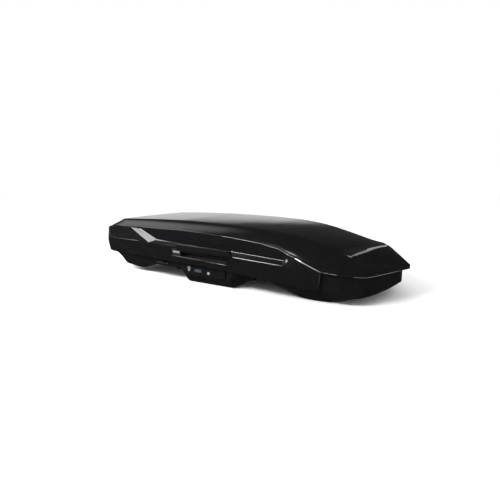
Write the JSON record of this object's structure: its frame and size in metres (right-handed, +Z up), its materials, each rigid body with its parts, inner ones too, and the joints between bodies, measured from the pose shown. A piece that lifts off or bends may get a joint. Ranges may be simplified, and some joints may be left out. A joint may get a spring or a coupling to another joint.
{
  "type": "roof cargo box",
  "caption": "Long aerodynamic car roof cargo box whose lid opens from either side, with crossbar clamps, locks and side grips.",
  "frame": {"origin": "under the middle of the box, on the plane that its belly rests on", "axes": "+X to the nose, +Y to the left side, +Z up"},
  "size_m": [2.15, 0.916, 0.4216],
  "materials": {
    "gloss_shell": "high-gloss black",
    "satin_panel": "satin black moulding",
    "tub_plastic": "matte black, fine grain",
    "inner_plastic": "matte black",
    "grip_plastic": "fine-grained black",
    "dial_plastic": "dark grey dial",
    "bright_trim": "blank silver-grey plate",
    "lock_marks": "pale grey slider mark",
    "status_field": "blue-grey blank field",
    "key_metal": "turned key barrel",
    "steel_parts": "black-coated steel",
    "track_aluminium": "extruded, brushed"
  },
  "bodies": {
    "base": {"base_shell": "tub_plastic", "track_right": "track_aluminium", "lock_housing_right": "grip_plastic", "status_label_right": "status_field", "hinge_pin_right_rear": "steel_parts", "hinge_pin_right_front": "steel_parts", "track_left": "track_aluminium", "lock_housing_left": "grip_plastic", "status_label_left": "status_field", "hinge_pin_left_rear": "steel_parts", "hinge_pin_left_front": "steel_parts"},
    "lid": {"lid_shell": "gloss_shell", "rear_panel": "satin_panel", "lid_bow_rear": "inner_plastic", "lid_bow_front": "inner_plastic", "side_skirt_right": "satin_panel", "grip_bar_right": "grip_plastic", "handle_cup_right": "inner_plastic", "badge_plate_right": "bright_trim", "skirt_rivet_right_rear": "grip_plastic", "skirt_rivet_right_front": "grip_plastic", "lid_rail_right": "steel_parts", "side_skirt_left": "satin_panel", "grip_bar_left": "grip_plastic", "handle_cup_left": "inner_plastic", "badge_plate_left": "bright_trim", "skirt_rivet_left_rear": "grip_plastic", "skirt_rivet_left_front": "grip_plastic", "lid_rail_left": "steel_parts"},
    "brackets_right": {"bracket_right_rear": "steel_parts", "bracket_right_front": "steel_parts"},
    "latch_right": {"latch_rail_right": "steel_parts"},
    "slider_right": {"lock_slider_right": "lock_marks"},
    "key_right": {"key_cylinder_right": "key_metal"},
    "brackets_left": {"bracket_left_rear": "steel_parts", "bracket_left_front": "steel_parts"},
    "latch_left": {"latch_rail_left": "steel_parts"},
    "slider_left": {"lock_slider_left": "lock_marks"},
    "key_left": {"key_cylinder_left": "key_metal"},
    "carriage_rear_right": {"clamp_carriage_rear_right": "inner_plastic"},
    "knob_rear_right": {"clamp_knob_rear_right": "dial_plastic"},
    "jaw_rear_right_behind": {"clamp_jaw_rear_right_behind": "steel_parts"},
    "jaw_rear_right_ahead": {"clamp_jaw_rear_right_ahead": "steel_parts"},
    "carriage_rear_left": {"clamp_carriage_rear_left": "inner_plastic"},
    "knob_rear_left": {"clamp_knob_rear_left": "dial_plastic"},
    "jaw_rear_left_behind": {"clamp_jaw_rear_left_behind": "steel_parts"},
    "jaw_rear_left_ahead": {"clamp_jaw_rear_left_ahead": "steel_parts"},
    "carriage_front_right": {"clamp_carriage_front_right": "inner_plastic"},
    "knob_front_right": {"clamp_knob_front_right": "dial_plastic"},
    "jaw_front_right_behind": {"clamp_jaw_front_right_behind": "steel_parts"},
    "jaw_front_right_ahead": {"clamp_jaw_front_right_ahead": "steel_parts"},
    "carriage_front_left": {"clamp_carriage_front_left": "inner_plastic"},
    "knob_front_left": {"clamp_knob_front_left": "dial_plastic"},
    "jaw_front_left_behind": {"clamp_jaw_front_left_behind": "steel_parts"},
    "jaw_front_left_ahead": {"clamp_jaw_front_left_ahead": "steel_parts"}
  },
  "joints": [
    {"name": "left_side_opening", "type": "hinge", "parent": "base", "child": "brackets_left", "pos_m": [0, -0.434, 0.118], "axis": [1, 0, 0], "range_deg": [0, 36]},
    {"name": "right_side_opening", "type": "hinge", "parent": "brackets_left", "child": "lid", "pos_m": [0, 0.434, 0.118], "axis": [-1, 0, 0], "range_deg": [0, 36]},
    {"name": "right_brackets_stay", "type": "hinge", "parent": "lid", "child": "brackets_right", "pos_m": [0, -0.434, 0.118], "axis": [1, 0, 0], "range_deg": [-36, 0]},
    {"name": "lock_slide_right", "type": "slide", "parent": "base", "child": "slider_right", "axis": [1, 0, 0], "range_m": [0, 0.025]},
    {"name": "latch_slide_right", "type": "slide", "parent": "base", "child": "latch_right", "axis": [1, 0, 0], "range_m": [0, 0.025]},
    {"name": "key_turn_right", "type": "hinge", "parent": "base", "child": "key_right", "pos_m": [-0.093, -0.433, 0.092], "axis": [0, -1, 0], "range_deg": [0, 90]},
    {"name": "lock_slide_left", "type": "slide", "parent": "base", "child": "slider_left", "axis": [1, 0, 0], "range_m": [0, 0.025]},
    {"name": "latch_slide_left", "type": "slide", "parent": "base", "child": "latch_left", "axis": [1, 0, 0], "range_m": [0, 0.025]},
    {"name": "key_turn_left", "type": "hinge", "parent": "base", "child": "key_left", "pos_m": [-0.093, 0.433, 0.092], "axis": [0, 1, 0], "range_deg": [0, 90]},
    {"name": "clamp_slide_rear_right", "type": "slide", "parent": "base", "child": "carriage_rear_right", "axis": [1, 0, 0], "range_m": [-0.02, 0.02]},
    {"name": "knob_turn_rear_right", "type": "hinge", "parent": "carriage_rear_right", "child": "knob_rear_right", "pos_m": [-0.45, -0.27, 0.15], "axis": [0, 0, -1], "range_deg": [0, 360]},
    {"name": "jaw_swing_rear_right_behind", "type": "hinge", "parent": "carriage_rear_right", "child": "jaw_rear_right_behind", "pos_m": [-0.502, -0.27, 0.096], "axis": [0, -1, 0], "range_deg": [0, 16.2]},
    {"name": "jaw_swing_rear_right_ahead", "type": "hinge", "parent": "carriage_rear_right", "child": "jaw_rear_right_ahead", "pos_m": [-0.398, -0.27, 0.096], "axis": [0, 1, 0], "range_deg": [0, 16.2]},
    {"name": "clamp_slide_rear_left", "type": "slide", "parent": "base", "child": "carriage_rear_left", "axis": [1, 0, 0], "range_m": [-0.02, 0.02]},
    {"name": "knob_turn_rear_left", "type": "hinge", "parent": "carriage_rear_left", "child": "knob_rear_left", "pos_m": [-0.45, 0.27, 0.15], "axis": [0, 0, -1], "range_deg": [0, 360]},
    {"name": "jaw_swing_rear_left_behind", "type": "hinge", "parent": "carriage_rear_left", "child": "jaw_rear_left_behind", "pos_m": [-0.502, 0.27, 0.096], "axis": [0, -1, 0], "range_deg": [0, 16.2]},
    {"name": "jaw_swing_rear_left_ahead", "type": "hinge", "parent": "carriage_rear_left", "child": "jaw_rear_left_ahead", "pos_m": [-0.398, 0.27, 0.096], "axis": [0, 1, 0], "range_deg": [0, 16.2]},
    {"name": "clamp_slide_front_right", "type": "slide", "parent": "base", "child": "carriage_front_right", "axis": [1, 0, 0], "range_m": [-0.02, 0.02]},
    {"name": "knob_turn_front_right", "type": "hinge", "parent": "carriage_front_right", "child": "knob_front_right", "pos_m": [0.205, -0.27, 0.15], "axis": [0, 0, -1], "range_deg": [0, 360]},
    {"name": "jaw_swing_front_right_behind", "type": "hinge", "parent": "carriage_front_right", "child": "jaw_front_right_behind", "pos_m": [0.153, -0.27, 0.096], "axis": [0, -1, 0], "range_deg": [0, 16.2]},
    {"name": "jaw_swing_front_right_ahead", "type": "hinge", "parent": "carriage_front_right", "child": "jaw_front_right_ahead", "pos_m": [0.257, -0.27, 0.096], "axis": [0, 1, 0], "range_deg": [0, 16.2]},
    {"name": "clamp_slide_front_left", "type": "slide", "parent": "base", "child": "carriage_front_left", "axis": [1, 0, 0], "range_m": [-0.02, 0.02]},
    {"name": "knob_turn_front_left", "type": "hinge", "parent": "carriage_front_left", "child": "knob_front_left", "pos_m": [0.205, 0.27, 0.15], "axis": [0, 0, -1], "range_deg": [0, 360]},
    {"name": "jaw_swing_front_left_behind", "type": "hinge", "parent": "carriage_front_left", "child": "jaw_front_left_behind", "pos_m": [0.153, 0.27, 0.096], "axis": [0, -1, 0], "range_deg": [0, 16.2]},
    {"name": "jaw_swing_front_left_ahead", "type": "hinge", "parent": "carriage_front_left", "child": "jaw_front_left_ahead", "pos_m": [0.257, 0.27, 0.096], "axis": [0, 1, 0], "range_deg": [0, 16.2]}
  ],
  "couplings": [
    {"joint": "right_brackets_stay", "follows": "left_side_opening", "ratio": -1},
    {"joint": "latch_slide_right", "follows": "lock_slide_right", "ratio": 1},
    {"joint": "latch_slide_left", "follows": "lock_slide_left", "ratio": 1},
    {"joint": "jaw_swing_rear_right_behind", "follows": "knob_turn_rear_right", "ratio": 0.045},
    {"joint": "jaw_swing_rear_right_ahead", "follows": "knob_turn_rear_right", "ratio": 0.045},
    {"joint": "jaw_swing_rear_left_behind", "follows": "knob_turn_rear_left", "ratio": 0.045},
    {"joint": "jaw_swing_rear_left_ahead", "follows": "knob_turn_rear_left", "ratio": 0.045},
    {"joint": "jaw_swing_front_right_behind", "follows": "knob_turn_front_right", "ratio": 0.045},
    {"joint": "jaw_swing_front_right_ahead", "follows": "knob_turn_front_right", "ratio": 0.045},
    {"joint": "jaw_swing_front_left_behind", "follows": "knob_turn_front_left", "ratio": 0.045},
    {"joint": "jaw_swing_front_left_ahead", "follows": "knob_turn_front_left", "ratio": 0.045}
  ]
}
